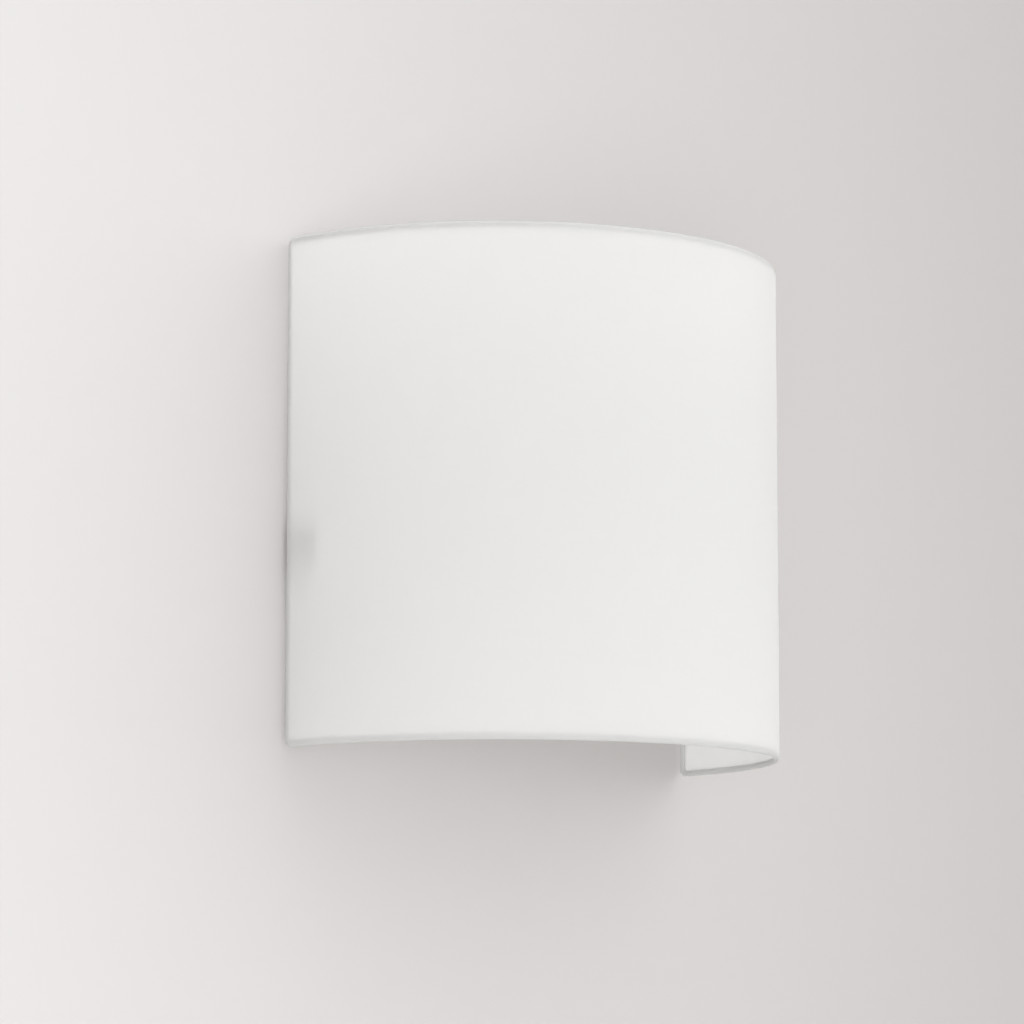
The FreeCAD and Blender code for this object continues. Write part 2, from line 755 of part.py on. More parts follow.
def lamp_diffuser():
    """The opal dome, a hollow shell that stands on the housing."""
    ball = lamp_diameter / 2
    middle = lamp_seat + lamp_length - ball
    joint = middle - joint_drop + 0.1
    inner = ball - opal_wall

    def level(radius):
        return math.sqrt(radius ** 2 - (middle - joint) ** 2)

    return turned_on_lamp([
        (level(inner), joint), (level(ball), joint), ((ball, middle), (0, middle + ball)),
        (0, middle + inner), ((inner, middle), (level(inner), joint))])


def lamp_led_board():
    """The round board with its light-emitting chips, inside the dome."""
    joint = lamp_seat + lamp_length - lamp_diameter / 2 - joint_drop
    centre = lamp_foot + UP * joint
    board = rod(centre + UP * 0.1, UP * board_thickness, board_diameter / 2)
    chips = []
    for i in range(chip_count):
        angle = 2 * math.pi * i / chip_count
        out = Vector(math.cos(angle), math.sin(angle), 0) * (chip_circle / 2)
        half = chip_size / 2
        place = centre + out
        chips.append(block((place.x - half, place.x + half), (place.y - half, place.y + half),
                           (place.z + board_thickness, place.z + board_thickness + 0.9)))
    return fused([board] + chips)


# ---- terminals and wires -----------------------------------------------------------
def pole_centres():
    """The terminal block's three poles, from the left: earth, live, neutral."""
    return [Vector(i * pole_pitch, -(sheet + pole_axis), block_rise) for i in (-1, 0, 1)]


def terminal_places():
    """The six clamping screws, two to a pole."""
    places = []
    for centre in pole_centres():
        for side in (-1, 1):
            places.append(centre + UP * (side * terminal_screw_spacing / 2))
    return places


def terminal_block():
    """The plastic block: a base, a barrel for each pole and a tower for each screw."""
    half = block_length / 2
    width = pole_pitch + pole_diameter / 2
    pieces = [block((-width, width), (-sheet - block_base, -sheet), (block_rise - half, block_rise + half))]
    cuts = []
    for centre in pole_centres():
        pieces.append(rod(centre - UP * half, UP * block_length, pole_diameter / 2))
        cuts.append(rod(centre - UP * (half + 1), UP * (block_length + 2), tunnel_diameter / 2 + thread_play))
    for place in terminal_places():
        foot = Vector(place.x, -sheet - block_base, place.z)
        pieces.append(rod(foot, -BACK * (tower_height - block_base), tower_diameter / 2))
        cuts.append(rod(place, -BACK * tower_height, terminal_screw_diameter / 2 + tower_play))
    for side in (-1, 1):
        hole = Vector(side * pole_pitch / 2, -sheet + 1, block_rise)
        cuts.append(rod(hole, -BACK * (block_base + 12), block_screw_diameter / 2 + thread_play))
        cuts.append(rod(hole - BACK * (block_base + 1), -BACK * 12, block_screw_diameter + 0.1))
    return fused(pieces).cut(cuts)


def terminal_tunnels():
    """A brass sleeve in each pole, with a wire bore and two tapped holes."""
    tunnels = []
    for centre in pole_centres():
        start = centre - UP * (tunnel_length / 2)
        body = rod(start, UP * tunnel_length, tunnel_diameter / 2)
        cuts = [rod(start - UP, UP * (tunnel_length + 2), tunnel_bore / 2)]
        for side in (-1, 1):
            place = centre + UP * (side * terminal_screw_spacing / 2)
            cuts.append(rod(place, -BACK * tunnel_diameter, terminal_screw_diameter / 2 + thread_play))
        tunnels.append(body.cut(cuts))
    return Part.makeCompound(tunnels)


def terminal_screws():
    """Six slotted clamping screws, down in their towers."""
    screws = []
    r = terminal_screw_diameter / 2
    half = terminal_screw_notch / 2
    for place in terminal_places():
        tip = place - BACK * (wire_insulation / 2 + 0.1)
        head = tip.y - terminal_screw_length
        body = rod(tip, -BACK * terminal_screw_length, r)
        notch = block((tip.x - half, tip.x + half), (head - 1, head + 0.8), (tip.z - r - 1, tip.z + r + 1))
        screws.append(body.cut(notch))
    return Part.makeCompound(screws)


def terminal_block_screws():
    """Two small screws that hold the block to the plate."""
    screws = []
    for side in (-1, 1):
        seat = Vector(side * pole_pitch / 2, -sheet - block_base, block_rise)
        screws.append(crosshead_screw(seat, BACK, block_base + sheet - 0.2, block_screw_diameter,
                                      2 * block_screw_diameter))
    return Part.makeCompound(screws)


def lamp_wire(pole, side):
    """An insulated wire from a pole, through the tube, to the contact carrier."""
    x = side * wire_spread
    bottom = block_rise - block_length / 2
    spread = side * terminal_spread
    points = [
        Vector(pole.x, pole.y, bottom + wire_in_block),
        Vector(pole.x, pole.y, bottom - 6),
        Vector(x, -wire_run, -8),
        Vector(x, -wire_run, -arm_drop),
        Vector(x, lamp_y, -arm_drop),
        Vector(x, lamp_y, base_z + tube_in_cap + 1),
        Vector(spread, lamp_y, base_z + seat_height - 3),
        Vector(spread, lamp_y, base_z + seat_height + wire_in_carrier),
    ]
    return piped(bent_path(points, [8.0, 8.0, 5.0, tube_bend, 3.0, 3.0]), wire_insulation / 2)


def wire_live():
    return lamp_wire(pole_centres()[1], -1)


def wire_neutral():
    return lamp_wire(pole_centres()[2], 1)


def earth_stack():
    """Distances from the wall of the ring terminal's rear and front faces."""
    washer = sheet + earth_washer_thickness
    return washer, washer + ring_thickness


def wire_earth():
    """The earth wire, from its pole to the ring terminal on the plate."""
    pole = pole_centres()[0]
    bottom = block_rise - block_length / 2
    barrel_y = -(sheet + barrel_diameter / 2 + 0.1)
    barrel_top = -earth_drop + ring_diameter / 2 + barrel_length
    points = [
        Vector(pole.x, pole.y, bottom + wire_in_block),
        Vector(pole.x, pole.y, bottom - 10),
        Vector(earth_x, barrel_y, barrel_top + 8),
        Vector(earth_x, barrel_y, barrel_top - 4),
    ]
    return piped(bent_path(points, [7.0, 7.0]), wire_insulation / 2)


def earth_ring():
    """The crimped ring terminal under the earth screw."""
    low, high = earth_stack()
    centre = Vector(earth_x, -low, -earth_drop)
    ring = rod(centre, -BACK * ring_thickness, ring_diameter / 2)
    barrel_y = -(sheet + barrel_diameter / 2 + 0.1)
    start = Vector(earth_x, barrel_y, -earth_drop + ring_diameter / 2)
    barrel = rod(start, UP * barrel_length, barrel_diameter / 2)
    neck = block((earth_x - barrel_diameter / 2, earth_x + barrel_diameter / 2), (-high, -low),
                 (-earth_drop, -earth_drop + ring_diameter / 2 + 0.5))
    wire_hole = rod(start + UP * 1.0, UP * barrel_length, wire_insulation / 2 + glue_line)
    screw_hole = rod(centre + BACK, -BACK * (ring_thickness + 2), thread_radius + ring_play)
    return fused([ring, neck, barrel]).cut([wire_hole, screw_hole])


def earth_washer():
    """The toothed washer between the ring terminal and the plate."""
    start = Vector(earth_x, -sheet, -earth_drop)
    ring = rod(start, -BACK * earth_washer_thickness, ring_diameter / 2 - 0.2)
    return ring.cut(rod(start + BACK, -BACK * (earth_washer_thickness + 2), thread_radius + ring_play))


def earth_screw():
    """The screw that bonds the plate to the supply's earth."""
    high = earth_stack()[1]
    return crosshead_screw(Vector(earth_x, -high, -earth_drop), BACK, high - 0.2, head=earth_head_diameter)


def report(name, shape):
    """Writes one piece, after testing that it is closed and valid."""
    for solid in shape.Solids:
        if not solid.isValid() or not solid.isClosed() or solid.Volume <= 0:
            raise ValueError(name + " isn't a sound solid")
    shape.exportStep(os.path.join("parts", name + ".step"))
    print("%-24s %2d solid(s) %10.1f mm3" % (name, len(shape.Solids), shape.Volume))


def pieces():
    """Every piece of the light, by name."""
    tab = shade_tab()
    screw = thumbscrew()
    return {
        "shade_fabric": shade_fabric(),
        "shade_liner": shade_liner(),
        "shade_wire": shade_wire(),
        "shade_tab_right": tab,
        "shade_tab_left": mirrored(tab),
        "thumbscrew_right": screw,
        "thumbscrew_left": mirrored(screw),
        "wall_plate": wall_plate(),
        "cable_grommet": cable_grommet(),
        "terminal_pan": pan(),
        "pan_screws": pan_screws(),
        "arm_tube": arm_tube(),
        "arm_washer": arm_washer(),
        "arm_inner_nut": arm_inner_nut(),
        "arm_outer_nut": arm_outer_nut(),
        "lampholder_cap": lampholder_cap(),
        "lampholder_skirt": lampholder_skirt(),
        "lampholder_carrier": lampholder_carrier(),
        "centre_contact": centre_contact(),
        "side_contact": side_contact(),
        "lamp_tip": lamp_tip(),
        "lamp_insulator": lamp_insulator(),
        "lamp_screw_shell": lamp_screw_shell(),
        "lamp_housing": lamp_housing(),
        "lamp_diffuser": lamp_diffuser(),
        "lamp_led_board": lamp_led_board(),
        "terminal_block": terminal_block(),
        "terminal_tunnels": terminal_tunnels(),
        "terminal_screws": terminal_screws(),
        "terminal_block_screws": terminal_block_screws(),
        "wire_live": wire_live(),
        "wire_neutral": wire_neutral(),
        "wire_earth": wire_earth(),
        "earth_ring": earth_ring(),
        "earth_washer": earth_washer(),
        "earth_screw": earth_screw(),
    }


os.makedirs("parts", exist_ok=True)
for piece_name, piece_shape in pieces().items():
    report(piece_name, piece_shape)
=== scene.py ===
import json
import math

import bpy
import numpy as np
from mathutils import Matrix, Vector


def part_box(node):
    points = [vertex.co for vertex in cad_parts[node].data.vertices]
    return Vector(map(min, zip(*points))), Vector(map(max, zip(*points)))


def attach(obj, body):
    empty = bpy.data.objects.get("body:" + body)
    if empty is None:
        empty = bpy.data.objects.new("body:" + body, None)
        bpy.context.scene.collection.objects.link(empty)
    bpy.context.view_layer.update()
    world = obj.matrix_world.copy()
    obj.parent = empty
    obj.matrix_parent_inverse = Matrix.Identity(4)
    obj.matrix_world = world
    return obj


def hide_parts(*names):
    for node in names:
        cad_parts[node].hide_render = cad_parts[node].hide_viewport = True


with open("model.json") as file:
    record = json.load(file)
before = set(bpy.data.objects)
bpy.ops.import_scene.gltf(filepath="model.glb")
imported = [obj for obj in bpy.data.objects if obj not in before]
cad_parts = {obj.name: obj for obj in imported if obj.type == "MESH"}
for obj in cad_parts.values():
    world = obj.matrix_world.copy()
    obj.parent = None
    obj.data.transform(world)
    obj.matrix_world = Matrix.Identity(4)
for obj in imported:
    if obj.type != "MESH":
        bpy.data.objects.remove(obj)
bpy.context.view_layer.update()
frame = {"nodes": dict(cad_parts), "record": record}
print("frame loaded:", len(frame["nodes"]), "nodes")

mm = 0.001          # the scene is in metres, and small sizes are easier to read in millimetres
hair = 0.01 * mm    # a margin where lengths are compared

# the drum that the shade wraps, worked out from the shade's box in the frame
shadeLow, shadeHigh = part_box("shade_fabric")
drum = dict(
    radius=shadeHigh[0],                       # of the outer skin
    middleY=shadeLow[1] + shadeHigh[0],        # the drum's axis
    rearY=shadeHigh[1],                        # the rolled side edges' rearmost line
    bottom=shadeLow[2],
    top=shadeHigh[2],
)
drum["straight"] = drum["rearY"] - drum["middleY"]               # flat run at each side
drum["girth"] = 2 * drum["straight"] + math.pi * drum["radius"]  # round the skin, edge to edge

view = dict(
    at=(-1.3506, -1.3607, -0.2320),   # left of the light and a little below it
    turn=45.09,                       # degrees to the right of straight at the wall
    tilt=7.69,                        # degrees upwards
    lens=151.3, sensor=36.0,          # millimetres
    clip=(0.05, 60.0),
)


def makeCamera():
    data = bpy.data.cameras.new("camera")
    data.lens = view["lens"]
    data.sensor_width = view["sensor"]
    data.clip_start, data.clip_end = view["clip"]
    camera = bpy.data.objects.new("camera", data)
    camera.location = view["at"]
    camera.rotation_euler = (math.radians(90 + view["tilt"]), 0, math.radians(-view["turn"]))
    bpy.context.collection.objects.link(camera)
    bpy.context.scene.camera = camera


makeCamera()
print("camera ready")


def toLinear(hexColour):
    # an sRGB hex value as linear red, green, blue and an alpha of 1
    parts = [int(hexColour[i:i + 2], 16) / 255 for i in (1, 3, 5)]
    linear = [c / 12.92 if c <= 0.04045 else ((c + 0.055) / 1.055) ** 2.4 for c in parts]
    return (*linear, 1.0)


def addNode(tree, kind, inputs=None, **settings):
    # adds a node: settings are its own properties, and each input, by name or number, gets a
    # value or, for (node, output), a link
    node = tree.nodes.new(kind)
    for name, value in settings.items():
        setattr(node, name, value)
    for name, value in (inputs or {}).items():
        if isinstance(value, tuple) and isinstance(value[0], bpy.types.Node):
            tree.links.new(value[0].outputs[value[1]], node.inputs[name])
        else:
            node.inputs[name].default_value = value
    return node


def newMaterial(name, colour, roughness, **sockets):
    # a Principled material with its even values set, ready for its pattern
    material = bpy.data.materials.new(name)
    material.use_nodes = True
    tree = material.node_tree
    shader = tree.nodes["Principled BSDF"]
    values = {"Base Color": toLinear(colour), "Roughness": roughness, **sockets}
    for socket, value in values.items():
        shader.inputs[socket].default_value = value
    material.diffuse_color = toLinear(colour)
    return material, tree, shader


def driftColour(tree, shader, place, size, detail, dull, colour):
    # lets the colour drift from dull to full in soft patches, and returns their noise
    patches = addNode(tree, "ShaderNodeTexNoise", {
        "Vector": place, "Scale": 1 / size, "Detail": detail})
    tint = addNode(tree, "ShaderNodeMix", {
        0: (patches, "Fac"), 6: toLinear(dull), 7: toLinear(colour)}, data_type="RGBA")
    tree.links.new(tint.outputs[2], shader.inputs["Base Color"])
    return patches


def raiseGrain(tree, shader, place, size, strength, depth):
    # raises a fine, even grain from the surface
    grain = addNode(tree, "ShaderNodeTexNoise", {"Vector": place, "Scale": 1 / size, "Detail": 2.0})
    bump = addNode(tree, "ShaderNodeBump", {
        "Height": (grain, "Fac"), "Strength": strength, "Distance": depth})
    tree.links.new(bump.outputs["Normal"], shader.inputs["Normal"])


def letLightThrough(tree, shader, glow, share):
    # mixes in a second shader that takes its light from behind. Light crosses both faces of a
    # sheet, so about share / (2 - share) of it comes out at the far side
    through = addNode(tree, "ShaderNodeBsdfTranslucent", {"Color": toLinear(glow)})
    both = addNode(tree, "ShaderNodeMixShader", {
        "Fac": share, 1: (shader, "BSDF"), 2: (through, "BSDF")})
    tree.links.new(both.outputs[0], tree.nodes["Material Output"].inputs["Surface"])


cloth = dict(
    colour="#fafafa", shadow="#f7f7f6", roughness=0.92, specular=0.25,
    sheen=0.08, sheenRoughness=0.6,
    threadPitch=1.1 * mm,             # the real one is 0.5 mm, drawn coarser so that it shows
    threadShare=0.25,                 # height of the threads, next to that of the slubs
    slubWidth=1.3 * mm, slubLength=22 * mm, slubRoughness=0.6,
    slubShift=(3.7, 1.9, 1.0),        # sets the slubs of the second direction apart
    cloudSize=30 * mm, cloudShare=0.25,
    tintLow=0.75, tintHigh=1.5,       # pattern values that give the shadow and the full colour
    bump=0.22, depth=0.05 * mm,
    passes=0.72, glow="#fefefe",      # share of the light that each face lets on, and its tint
)


def makeWovenCloth():
    # plain-woven cotton and polyester shade cloth, bleached white: dull and very even, with
    # faint slubs along both thread directions, and thin enough to glow with light behind it
    material, tree, shader = newMaterial("wovenShadeCloth", cloth["colour"], cloth["roughness"], **{
        "Sheen Weight": cloth["sheen"], "Sheen Roughness": cloth["sheenRoughness"],
        "Specular IOR Level": cloth["specular"]})
    place = addNode(tree, "ShaderNodeUVMap", uv_map="cloth")      # in metres along the threads
    axes = addNode(tree, "ShaderNodeSeparateXYZ", {"Vector": (place, "UV")})
    waves = []
    for axis in ("X", "Y"):
        turns = addNode(tree, "ShaderNodeMath", {
            0: (axes, axis), 1: 2 * math.pi / cloth["threadPitch"]}, operation="MULTIPLY")
        waves.append(addNode(tree, "ShaderNodeMath", {0: (turns, 0)}, operation="SINE"))
    weave = addNode(tree, "ShaderNodeMath", {
        0: (waves[0], 0), 1: (waves[1], 0)}, operation="MULTIPLY")
    slubs = []
    for along in (0, 1):
        # noise drawn out along one thread direction
        scale = [1 / cloth["slubWidth"], 1 / cloth["slubWidth"], 1]
        scale[along] = 1 / cloth["slubLength"]
        shift = [along * part for part in cloth["slubShift"]]
        mapping = addNode(tree, "ShaderNodeMapping", {
            "Vector": (place, "UV"), "Scale": scale, "Location": shift})
        slubs.append(addNode(tree, "ShaderNodeTexNoise", {
            "Vector": (mapping, "Vector"), "Scale": 1.0, "Detail": 2.0,
            "Roughness": cloth["slubRoughness"]}))
    slub = addNode(tree, "ShaderNodeMath", {
        0: (slubs[0], "Fac"), 1: (slubs[1], "Fac")}, operation="ADD")
    cloud = addNode(tree, "ShaderNodeTexNoise", {
        "Vector": (place, "UV"), "Scale": 1 / cloth["cloudSize"], "Detail": 2.0})
    pattern = addNode(tree, "ShaderNodeMath", {
        0: (cloud, "Fac"), 1: cloth["cloudShare"], 2: (slub, 0)}, operation="MULTIPLY_ADD")
    span = addNode(tree, "ShaderNodeMapRange", {
        "Value": (pattern, 0), "From Min": cloth["tintLow"], "From Max": cloth["tintHigh"]})
    tint = addNode(tree, "ShaderNodeMix", {
        0: (span, "Result"), 6: toLinear(cloth["shadow"]), 7: toLinear(cloth["colour"])},
        data_type="RGBA")
    tree.links.new(tint.outputs[2], shader.inputs["Base Color"])
    thread = addNode(tree, "ShaderNodeMath", {
        0: (weave, 0), 1: cloth["threadShare"], 2: (slub, 0)}, operation="MULTIPLY_ADD")
    bump = addNode(tree, "ShaderNodeBump", {
        "Height": (thread, 0), "Strength": cloth["bump"], "Distance": cloth["depth"]})
    tree.links.new(bump.outputs["Normal"], shader.inputs["Normal"])
    letLightThrough(tree, shader, cloth["glow"], cloth["passes"])
    return material


lining = dict(
    colour="#fafaf9", dull="#f7f7f5", roughness=0.42, ior=1.53,
    cloudSize=40 * mm,
    grain=0.6 * mm, bump=0.15, depth=0.03 * mm,    # the real grain is 0.2 mm, drawn coarser
    passes=0.76, glow="#fefefe",
)


def makeLiningSheet():
    # calendered white PVC sheet: smooth and milky, with a faint embossed grain and a soft
    # sheen, and the light that the cloth lets in spreads through it
    material, tree, shader = newMaterial("calenderedLining", lining["colour"], lining["roughness"],
                                         IOR=lining["ior"])
    place = (addNode(tree, "ShaderNodeTexCoord"), "Object")
    driftColour(tree, shader, place, lining["cloudSize"], 2.0, lining["dull"], lining["colour"])
    raiseGrain(tree, shader, place, lining["grain"], lining["bump"], lining["depth"])
    letLightThrough(tree, shader, lining["glow"], lining["passes"])
    return material


# bare and plated metals by record slot. Their tint and roughness drift together in patches,
# and grain is the width of the fine marks that their making left
metals = {
    # cold-drawn steel wire, bright and a little greasy, seen only where the hem leaves it bare
    "frame_wire": dict(name="drawnSteelWire", colour="#c9cac9", tarnish="#b2b2ae", roughness=0.28,
                       patch=6 * mm, grain=0.3 * mm),
    # electroplated zinc, clear passivated: cool, bright, and slightly cloudy
    "zinc_steel": dict(name="brightZincPlate", colour="#cfd2d4", tarnish="#b9bcbc", roughness=0.26,
                       patch=4 * mm, grain=0.25 * mm),
    # stamped sheet brass: warm, with a slight tarnish
    "brass": dict(name="stampedBrass", colour="#d9b56a", tarnish="#bd9a55", roughness=0.24,
                  patch=3 * mm, grain=0.25 * mm),
    # nickel-plated brass of a lamp cap: a warm grey shine
    "lamp_metal": dict(name="nickelledShell", colour="#cfccc4", tarnish="#b7b3a9", roughness=0.22,
                       patch=5 * mm, grain=0.25 * mm),
}

# what all metals share in their wear
metalWear = dict(
    detail=5.0,
    patchLow=0.3, patchHigh=0.7,      # patch values between which the roughness changes
    smoother=0.07, rougher=0.09,      # how far it goes down and up from the metal's own
    bump=0.12, depth=0.01 * mm,
)


def makeMetal(name, colour, tarnish, roughness, patch, grain):
    material, tree, shader = newMaterial(name, colour, roughness, Metallic=1.0)
    place = (addNode(tree, "ShaderNodeTexCoord"), "Object")
    patches = driftColour(tree, shader, place, patch, metalWear["detail"], tarnish, colour)
    spread = addNode(tree, "ShaderNodeMapRange", {
        "Value": (patches, "Fac"),
        "From Min": metalWear["patchLow"], "From Max": metalWear["patchHigh"],
        "To Min": roughness - metalWear["smoother"], "To Max": roughness + metalWear["rougher"]})
    tree.links.new(spread.outputs["Result"], shader.inputs["Roughness"])
    raiseGrain(tree, shader, place, grain, metalWear["bump"], metalWear["depth"])
    return material


# coated, moulded and fired pieces by record slot: an even colour with slow drifts, and the
# fine grain of the coat or of the mould
mouldings = {
    # polyester powder coat on pressed steel: low shine over a fine orange peel
    "white_paint": dict(name="whitePowderCoat", colour="#f7f7f5", dull="#f3f3f1", roughness=0.46,
                        ior=1.5, patch=22 * mm, grain=0.9 * mm, bump=0.25, depth=0.03 * mm),
    # injection-moulded polyester: smooth, hard and slightly warm
    "white_plastic": dict(name="whiteThermoplastic", colour="#ecebe7", dull="#e6e4df",
                          roughness=0.3, ior=1.55, patch=18 * mm, grain=0.5 * mm, bump=0.2,
                          depth=0.015 * mm),
    # steatite, pressed and fired without glaze: cream, dry and fine-grained
    "porcelain": dict(name="unglazedSteatite", colour="#e9e4d8", dull="#ddd7c9", roughness=0.62,
                      ior=1.6, patch=18 * mm, grain=0.3 * mm, bump=0.2, depth=0.02 * mm),
    # black cap glass, poured and pressed: deep and glossy
    "black_glass": dict(name="blackVitrite", colour="#17171a", dull="#101013", roughness=0.09,
                        ior=1.52, patch=9 * mm, grain=0.5 * mm, bump=0.1, depth=0.004 * mm),
    # uncoloured nylon 6: bone white, waxy
    "natural_nylon": dict(name="naturalNylon", colour="#e3ddcb", dull="#d8d1bd", roughness=0.45,
                          ior=1.53, patch=12 * mm, grain=0.5 * mm, bump=0.2, depth=0.015 * mm),
    # soft grey elastomer bush: matt, with a faint bloom
    "grey_rubber": dict(name="greyElastomer", colour="#8b8c8c", dull="#7f8080", roughness=0.72,
                        ior=1.5, patch=10 * mm, grain=0.4 * mm, bump=0.2, depth=0.03 * mm),
    # extruded PVC insulation: a soft sheen with slight drifts along the wire
    "brown_wire": dict(name="brownInsulation", colour="#5a3420", dull="#4f2d1c", roughness=0.4,
                       ior=1.53, patch=8 * mm, grain=0.4 * mm, bump=0.15, depth=0.01 * mm),
    "blue_wire": dict(name="blueInsulation", colour="#2a62ad", dull="#25579b", roughness=0.4,
                      ior=1.53, patch=8 * mm, grain=0.4 * mm, bump=0.15, depth=0.01 * mm),
}


def makeMoulded(name, colour, dull, roughness, ior, patch, grain, bump, depth):
    material, tree, shader = newMaterial(name, colour, roughness, IOR=ior)
    place = (addNode(tree, "ShaderNodeTexCoord"), "Object")
    driftColour(tree, shader, place, patch, 3.0, dull, colour)
    raiseGrain(tree, shader, place, grain, bump, depth)
    return material


opal = dict(
    colour="#f2f1ec", dull="#eceae4", roughness=0.38, ior=1.58,
    milk=0.3,                         # share of the light that enters and comes back out
    milkRadius=(1.0, 0.9, 0.8),       # how far red, green and blue spread, as shares of milkDepth
    milkDepth=2 * mm,
    patch=20 * mm,
    grain=0.4 * mm, bump=0.08, depth=0.01 * mm,
)


def makeOpal():
    # opal polycarbonate dome: milky right through, so that light softens its edges
    material, tree, shader = newMaterial("opalPolycarbonate", opal["colour"], opal["roughness"], **{
        "IOR": opal["ior"], "Subsurface Weight": opal["milk"],
        "Subsurface Radius": opal["milkRadius"], "Subsurface Scale": opal["milkDepth"]})
    place = (addNode(tree, "ShaderNodeTexCoord"), "Object")
    driftColour(tree, shader, place, opal["patch"], 2.0, opal["dull"], opal["colour"])
    raiseGrain(tree, shader, place, opal["grain"], opal["bump"], opal["depth"])
    return material


board = dict(
    mask="#e9e8e2", phosphor="#d8b441", roughness=0.4,
    chipDepth=0.5 * mm,               # chips are what lies this close to the board's top
)


def makeBoard():
    # white solder mask with yellow phosphor chips, told apart by their height on the board
    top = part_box("lamp_led_board")[1][2]
    material, tree, shader = newMaterial("whiteSolderMask", board["mask"], board["roughness"])
    place = addNode(tree, "ShaderNodeTexCoord")
    axes = addNode(tree, "ShaderNodeSeparateXYZ", {"Vector": (place, "Object")})
    chips = addNode(tree, "ShaderNodeMath", {
        0: (axes, "Z"), 1: top - board["chipDepth"]}, operation="GREATER_THAN")
    tint = addNode(tree, "ShaderNodeMix", {
        0: (chips, 0), 6: toLinear(board["mask"]), 7: toLinear(board["phosphor"])},
        data_type="RGBA")
    tree.links.new(tint.outputs[2], shader.inputs["Base Color"])
    return material


striped = dict(
    green="#3f8a3a", yellow="#d9c531", roughness=0.4, ior=1.53,
    reach=0.62,                       # a stripe is where the normal's X part is above this
)


def makeStripedWire():
    # green insulation with two yellow stripes along it, on the sides that face along X
    material, tree, shader = newMaterial("greenYellowInsulation", striped["green"],
                                         striped["roughness"], IOR=striped["ior"])
    place = addNode(tree, "ShaderNodeTexCoord")
    axes = addNode(tree, "ShaderNodeSeparateXYZ", {"Vector": (place, "Normal")})
    side = addNode(tree, "ShaderNodeMath", {0: (axes, "X")}, operation="ABSOLUTE")
    stripe = addNode(tree, "ShaderNodeMath", {
        0: (side, 0), 1: striped["reach"]}, operation="GREATER_THAN")
    tint = addNode(tree, "ShaderNodeMix", {
        0: (stripe, 0), 6: toLinear(striped["green"]), 7: toLinear(striped["yellow"])},
        data_type="RGBA")
    tree.links.new(tint.outputs[2], shader.inputs["Base Color"])
    return material


finishes = {
    "shade_cloth": makeWovenCloth(),
    "shade_lining": makeLiningSheet(),
    "opal": makeOpal(),
    "board_white": makeBoard(),
    "green_wire": makeStripedWire(),
}
finishes.update({slot: makeMetal(**values) for slot, values in metals.items()})
finishes.update({slot: makeMoulded(**values) for slot, values in mouldings.items()})
print("materials ready:", len(finishes))


def dressNodes():
    # gives each CAD piece the finish of its slot in the record
    slots = {part["node"]: part["material_slot"] for part in frame["record"]["subparts"]}
    for name, piece in frame["nodes"].items():
        piece.data.materials.clear()
        piece.data.materials.append(finishes[slots[name]])


dressNodes()


def onDrum(along, height, out):
    # along runs round the skin from the left rear edge: straight, half a turn, straight.
    # x = -(R + out) cos t and y = axis - (R + out) sin t, where t is the turn so far, and the
    # straight runs carry on towards the wall at each end
    start, radius = drum["straight"], drum["radius"]
    turn = np.clip((along - start) / radius, 0, math.pi)
    rear = np.maximum(start - along, 0) + np.maximum(along - start - math.pi * radius, 0)
    x = -(radius + out) * np.cos(turn)
    y = drum["middleY"] - (radius + out) * np.sin(turn) + rear
    return np.stack([x, y, height + 0 * x], axis=-1)


def spacedLines(length, bend, cornerCells, step, extra=()):
    # grid lines: close together in both corner bends, then even steps, with extra lines added.
    # Lines that agree to seven decimals are one
    corner = np.linspace(0, bend, cornerCells + 1)
    count = max(2, round((length - 2 * bend) / step))
    even = np.linspace(bend, length - bend, count + 1)
    lines = np.concatenate([corner, even, length - corner, extra])
    return np.unique(np.round(lines, 7))


def roundedGrid(width, height, bend, across, up):
    # a grid over a rectangle, drawn in to round corners. In a corner square, p and q run from
    # 0 to 1 at the edges, and the point moves to p sqrt(1 - q q / 2), q sqrt(1 - p p / 2),
    # which turns the square into a quarter disc. Returns u, v and the outward direction
    u, v = np.meshgrid(across, up, indexing="ij")
    p = np.clip(1 - u / bend, 0, 1) - np.clip(1 - (width - u) / bend, 0, 1)
    q = np.clip(1 - v / bend, 0, 1) - np.clip(1 - (height - v) / bend, 0, 1)
    pRound = p * np.sqrt(1 - q * q / 2)
    qRound = q * np.sqrt(1 - p * p / 2)
    return u + bend * (p - pRound), v + bend * (q - qRound), -pRound, -qRound


def loopOf(grid):
    # the border of a grid of values, once round: along the bottom, up, back and down
    return np.concatenate([grid[:-1, 0], grid[-1, :-1], grid[:0:-1, -1], grid[0, :0:-1]])


def gentleNoise(values, seed, waves, longest):
    # a sum of sines with falling strength and wavelengths from longest down, between -1 and 1,
    # each begun at a random point of its turn
    random = np.random.default_rng(seed)
    wholeTurn = 6.28
    total = np.zeros_like(values)
    for k in range(1, waves + 1):
        start = random.uniform(0, wholeTurn)
        total = total + np.sin(2 * math.pi * values * k / longest + start) / k
    return total / sum(1 / k for k in range(1, waves + 1))


def meshFrom(name, points, quads, uv=None):
    # a smooth-shaded mesh object at the origin from arrays of points and quads
    mesh = bpy.data.meshes.new(name)
    mesh.from_pydata(points.reshape(-1, 3).tolist(), [], quads.reshape(-1, 4).tolist())
    mesh.polygons.foreach_set("use_smooth", np.ones(len(mesh.polygons), dtype=bool))
    if uv is not None:
        layer = mesh.uv_layers.new(name="cloth")
        corners = np.empty(len(mesh.loops), dtype=np.int32)
        mesh.loops.foreach_get("vertex_index", corners)
        layer.data.foreach_set("uv", uv.reshape(-1, 2)[corners].ravel().astype(np.float32))
    mesh.update()
    piece = bpy.data.objects.new(name, mesh)
    bpy.context.collection.objects.link(piece)
    return piece


